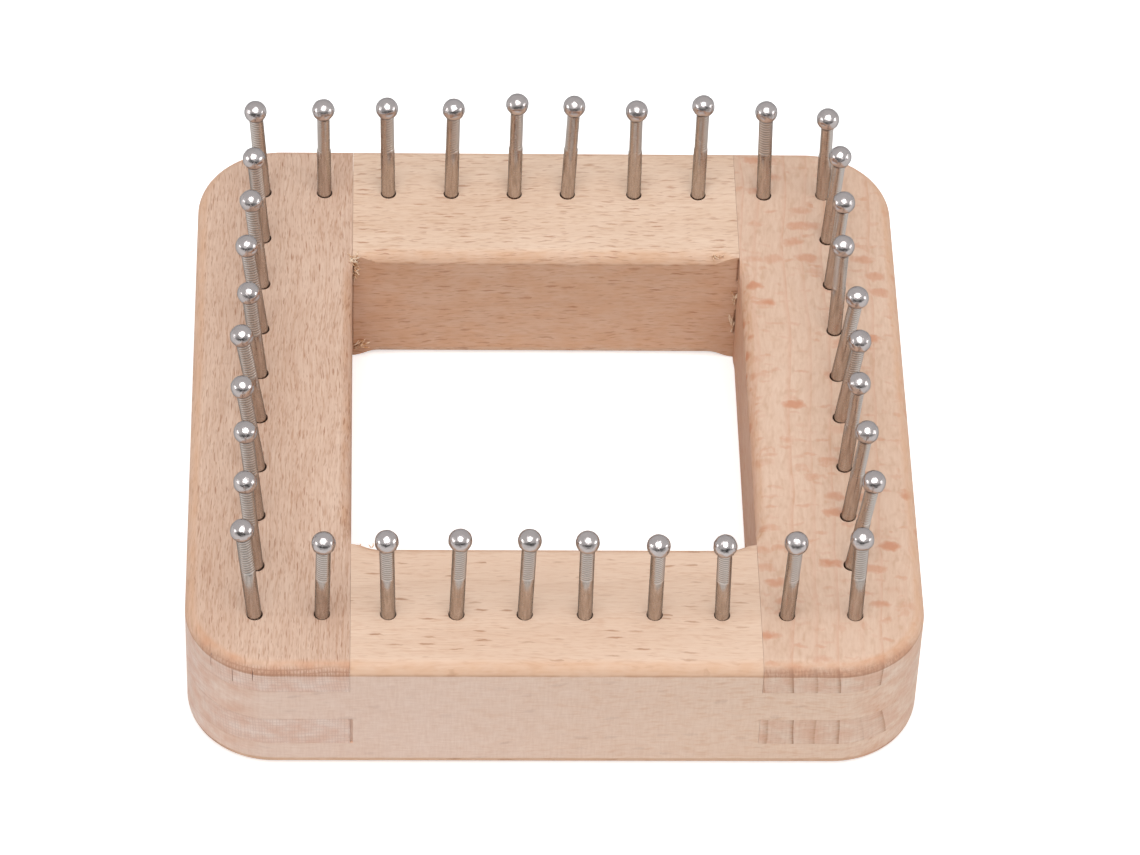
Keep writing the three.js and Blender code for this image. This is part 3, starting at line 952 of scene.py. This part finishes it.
# %% Layers of rays
# Each layer: the cell and the half size of a ray in mm (along the grain, across the rings and along the
# rings), the share of cells that hold one, how strongly it shows, and how soft its edge is.
FLAT_RAYS = [((2.3, 8.0, 0.7), (0.95, 4.2, 0.12), 0.85, 0.6, 0.5),
             ((1.3, 5.0, 0.42), (0.5, 2.4, 0.09), 0.85, 0.4, 0.6)]
QUARTER_RAYS = [((3.3, 5.5, 1.2), (1.1, 2.1, 0.8), 0.52, 0.85, 0.75),
                ((1.6, 3.5, 0.7), (0.45, 1.4, 0.4), 0.75, 0.5, 0.9),
                ((2.9, 6.0, 0.8), (1.1, 3.0, 0.1), 0.4, 0.35, 0.6)]
SPARSE_RAYS = [((3.6, 9.0, 1.5), (1.4, 4.4, 0.22), 0.45, 0.8, 0.8),
               ((1.9, 5.0, 0.8), (0.8, 2.4, 0.12), 0.4, 0.3, 0.8)]
DENSE_RAYS = [((3.0, 9.0, 0.8), (1.35, 4.4, 0.15), 0.7, 0.62, 0.7),
              ((1.8, 5.0, 0.45), (0.75, 2.4, 0.09), 0.8, 0.45, 0.7)]

# %% The woods
# The axes say which of x, y and z runs along the grain, across the rings and along the rings.
WOODS = {
    "rail_left": {
        "name": "flat_sawn_beech_left", "axes": (1, 2, 0), "offset": (3, 7, 0),
        "tilt": (0, 0.05, 0.02), "light": "#e4c7b2", "dark": "#c69f86", "ray": "#9a6343",
        "end_light": "#f6e4d8", "end_dark": "#b59282", "rays": FLAT_RAYS, "pitch": 4.1,
        "ring_show": 0.06, "line_show": 1.2, "fleck_show": 0.55, "fibre_show": 0.45,
        "fibre_step": 0.12,
    },
    "rail_front": {
        "name": "flat_sawn_beech_front", "axes": (0, 2, 1), "offset": (5, 2, 4),
        "tilt": (0.45, 0, 0.02), "light": "#edd1ba", "dark": "#d8b195", "ray": "#a8734f",
        "end_light": "#f2dfd2", "end_dark": "#b08c78", "rays": SPARSE_RAYS, "pitch": 3.7,
        "ring_show": 0.12, "line_show": 0.6, "fleck_show": 0.4, "fibre_show": 0.25,
        "fibre_step": 0.2,
    },
    "rail_back": {
        "name": "flat_sawn_beech_back", "axes": (0, 2, 1), "offset": (25, 31, 9),
        "tilt": (-0.7, 0, -0.02), "light": "#f0d5be", "dark": "#d8b396", "ray": "#a3623a",
        "end_light": "#f2dfd2", "end_dark": "#b08c78", "rays": DENSE_RAYS, "pitch": 3.9,
        "ring_show": 0.12, "line_show": 0.6, "fleck_show": 0.45, "fibre_show": 0.28,
        "fibre_step": 0.2,
    },
    "rail_right": {
        "name": "quarter_sawn_beech_right", "axes": (1, 0, 2), "offset": (12, 3, 6),
        "tilt": (0, 0.06, 0.03), "light": "#e5c7b1", "dark": "#d3af95", "ray": "#cd8d6c",
        "end_light": "#ecd8ca", "end_dark": "#b08a72", "rays": QUARTER_RAYS, "pitch": 3.1,
        "ring_show": 0.36, "line_show": 0.35, "fleck_show": 0.45, "fibre_show": 0.42,
        "fibre_step": 0.5,
    },
}
for node, wood in rails.items():
    wood.data.materials.clear()
    wood.data.materials.append(beech(WOODS[node]))
print(len(WOODS), "beech finishes")

# %% [markdown]
# ## The torn fibres
# A torn fibre is the same beech, but neither sanded nor rubbed, so it is paler and matt. Its tone is
# broken up every millimetre or so, because each thread catches the light in its own way.

# %% The pale torn fibres
def fibre_finish():
    material, tree, shader = new_material("torn_beech_fibre")
    here = add(tree, "TexCoord", {}, out="Object")
    tone = stretched_noise(tree, here, (900, 900, 900), 0.35, 0.65)
    colour = add(tree, "Mix", {0: tone, MIX_A: srgb("#f8e6cf"), MIX_B: srgb("#d3a273")}, **RGBA)
    tree.links.new(colour, shader.inputs["Base Color"])
    shader.inputs["Roughness"].default_value = 0.6
    return material


fibres.data.materials.append(fibre_finish())

# %% [markdown]
# ## Nickel-plated steel
# The nails are steel wire with a thin bright nickel plate, put on after they were struck. A metal has no
# diffuse colour of its own: it shows what is around it, tinted by its plate, so most of this finish is
# in the roughness. The struck ball is the smoothest but not quite even, the drawn wire keeps fine lines
# along its length, and the gripped ribs are scuffed. The wire looks warmer and duller than the ball.
# The specular tint dulls the bright rim that a metal shows at its edges.

# %% The nail's finish
def nickel_plate():
    material, tree, shader = new_material("satin_nickel_plate")
    here = add(tree, "TexCoord", {}, out="Object")
    fine = stretched_noise(tree, here, (3600, 3600, 260), 0.35, 0.65, detail=2)
    patches = add(tree, "TexNoise", {"Vector": here, "Scale": 900, "Detail": 2})
    polish = add(tree, "Attribute", {}, out="Fac", attribute_name="polish")
    grip = add(tree, "Attribute", {}, out="Fac", attribute_name="grip")
    wire = add(tree, "MapRange", {0: patches, 1: 0.3, 2: 0.7, 3: 0.22, 4: 0.32})
    ball = add(tree, "MapRange", {0: patches, 1: 0.3, 2: 0.7, 3: 0.14, 4: 0.26})
    rough = add(tree, "Mix", {0: polish, 2: wire, 3: ball})
    rough = add(tree, "Math", {0: grip, 1: 0.12, 2: rough}, operation="MULTIPLY_ADD")
    tree.links.new(rough, shader.inputs["Roughness"])
    groove_shade = add(tree, "Attribute", {}, out="Fac", attribute_name="groove_shade")
    wire_colour = add(tree, "Mix", {0: fine, MIX_A: srgb("#c9bfb8"), MIX_B: srgb("#b3a89f")}, **RGBA)
    wire_colour = add(tree, "Mix", {0: grip, MIX_A: wire_colour, MIX_B: srgb("#f0ebe7")}, **RGBA)
    # The grooves between the ribs are painted darker: a painted shade.
    wire_colour = add(tree, "Mix", {0: groove_shade, MIX_A: wire_colour, MIX_B: srgb("#b5aaa1")}, **RGBA)
    ball_colour = add(tree, "Mix", {0: patches, MIX_A: srgb("#dad4d3"), MIX_B: srgb("#c6bfbe")}, **RGBA)
    colour = add(tree, "Mix", {0: polish, MIX_A: wire_colour, MIX_B: ball_colour}, **RGBA)
    tree.links.new(colour, shader.inputs["Base Color"])
    shader.inputs["Metallic"].default_value = 1.0
    shader.inputs["Specular Tint"].default_value = srgb("#a3a9ad")
    peel = add(tree, "TexNoise", {"Vector": here, "Scale": 1700, "Detail": 2})
    peel = add(tree, "Math", {0: peel, 1: polish}, operation="MULTIPLY")
    height = add(tree, "Math", {0: fine, 1: 0.02, 2: peel}, operation="MULTIPLY_ADD")
    bump = add(tree, "Bump", {"Height": height, "Strength": 0.6, "Distance": 0.11 * MM})
    tree.links.new(bump, shader.inputs["Normal"])
    return material


plate = nickel_plate()
for obj in bpy.data.objects:
    if obj.name.startswith("ball_nail"):
        obj.data.materials.append(plate)

# %% [markdown]
# ## Floor, light and camera
# The floor is a plain pale sheet of paper, just below the loom. The camera sees it evenly white, as a
# well-lit sheet is, while the balls and the wood see a greyer one that darkens towards the front.

# %% The floor
FLOOR_HALF = 5
FLOOR_GAP = 0.05 * MM
bm = bmesh.new()
bmesh.ops.create_grid(bm, x_segments=1, y_segments=1, size=FLOOR_HALF,
                      matrix=Matrix.Translation((0, 0, -FLOOR_GAP)))
floor = make_object("floor", bm)

# %% The paper
paper, tree, shader = new_material("white_paper")
shader.inputs["Roughness"].default_value = 0.9
shader.inputs["Specular IOR Level"].default_value = 0.1
seen = add(tree, "LightPath", {}, out="Is Camera Ray")
glow = add(tree, "Math", {0: seen, 1: 0.5}, operation="MULTIPLY")
shader.inputs["Emission Color"].default_value = srgb("#ffffff")
tree.links.new(glow, shader.inputs["Emission Strength"])
spot = add(tree, "SeparateXYZ", {0: add(tree, "TexCoord", {}, out="Object")}, out=1)
near = add(tree, "MapRange", {0: spot, 1: -0.35, 2: -0.1, 3: 0.25, 4: 0.85})
near = add(tree, "Math", {0: near, 1: seen}, operation="MAXIMUM")
white = add(tree, "Mix", {0: near, MIX_A: srgb("#000000"), MIX_B: srgb("#f2f1f0")}, **RGBA)
tree.links.new(white, shader.inputs["Base Color"])
floor.data.materials.append(paper)

# %% [markdown]
# ## Light
# A big soft light stands above and in front of the loom, and two low panels stand at its sides, which
# put a light edge on the nails. The sky is a soft grey, with a dark patch low in front that gives the
# balls their dark band.

# %% The lights
def direction(azimuth, elevation):
    turn, rise = math.radians(azimuth), math.radians(elevation)
    return Vector((math.sin(turn) * math.cos(rise), -math.cos(turn) * math.cos(rise),
                   math.sin(rise)))


def soft_light(name, azimuth, elevation, distance, width, height, power):
    light = bpy.data.lights.new(name, "AREA")
    light.shape = "ELLIPSE"
    light.size, light.size_y = width, height
    light.energy = power
    lamp = bpy.data.objects.new(name, light)
    bpy.context.scene.collection.objects.link(lamp)
    away = direction(azimuth, elevation)
    lamp.location = away * distance
    lamp.rotation_mode = "QUATERNION"
    lamp.rotation_quaternion = away.to_track_quat("Z", "Y")


soft_light("top_softbox", 0, 64, 1.4, 1.3, 1.3, 12.0)
soft_light("left_panel", -80, 12, 1.3, 0.6, 0.4, 1.6)
soft_light("right_panel", 80, 12, 1.3, 0.6, 0.4, 1.6)

# %% The sky
world = bpy.data.worlds.new("soft_sky")
bpy.context.scene.world = world
world.use_nodes = True
sky = world.node_tree
parts = add(sky, "SeparateXYZ", {0: add(sky, "TexCoord", {}, out="Generated")}, out=None).outputs
front = add(sky, "MapRange", {0: parts[1], 1: -0.9, 2: -0.4, 3: 1, 4: 0})
low = add(sky, "MapRange", {0: parts[2], 1: 0.2, 2: 0.5, 3: 1, 4: 0})
dark_front = add(sky, "Math", {0: front, 1: low}, operation="MULTIPLY")
level = add(sky, "MapRange", {0: dark_front, 1: 0, 2: 1, 3: 0.6, 4: 0.06})
seen = add(sky, "LightPath", {}, out="Is Camera Ray")
level = add(sky, "Math", {0: level, 1: seen}, operation="MAXIMUM")
sky.links.new(level, sky.nodes["Background"].inputs["Strength"])
sky.nodes["Background"].inputs["Color"].default_value = srgb("#fffdfd")
bpy.context.scene.view_settings.view_transform = "Standard"

# %% [markdown]
# ## Camera
# A long lens stands well back, above the front of the loom and a little to its left. Its place is given
# as angles round a point on the loom, so that it is easy to move.

# %% The camera
LENS = 176.3
SENSOR_WIDTH = 36
AZIMUTH = -3.04
ELEVATION = 46.73
ROLL = math.radians(-2.44)
TARGET = Vector((2.65, -5.86, 20.5)) * MM
DISTANCE = 775.8 * MM

camera = bpy.data.cameras.new("camera")
camera.lens = LENS
camera.sensor_width = SENSOR_WIDTH
camera.clip_start, camera.clip_end = 0.05, 20
view_point = bpy.data.objects.new("camera", camera)
bpy.context.scene.collection.objects.link(view_point)
back = direction(AZIMUTH, ELEVATION)
level_right = direction(AZIMUTH + 90, 0)
level_up = back.cross(level_right)
right = level_right * math.cos(ROLL) - level_up * math.sin(ROLL)
up = level_right * math.sin(ROLL) + level_up * math.cos(ROLL)
turned = Matrix((right, up, back)).transposed().to_4x4()
view_point.matrix_world = Matrix.Translation(TARGET + back * DISTANCE) @ turned
bpy.context.scene.camera = view_point
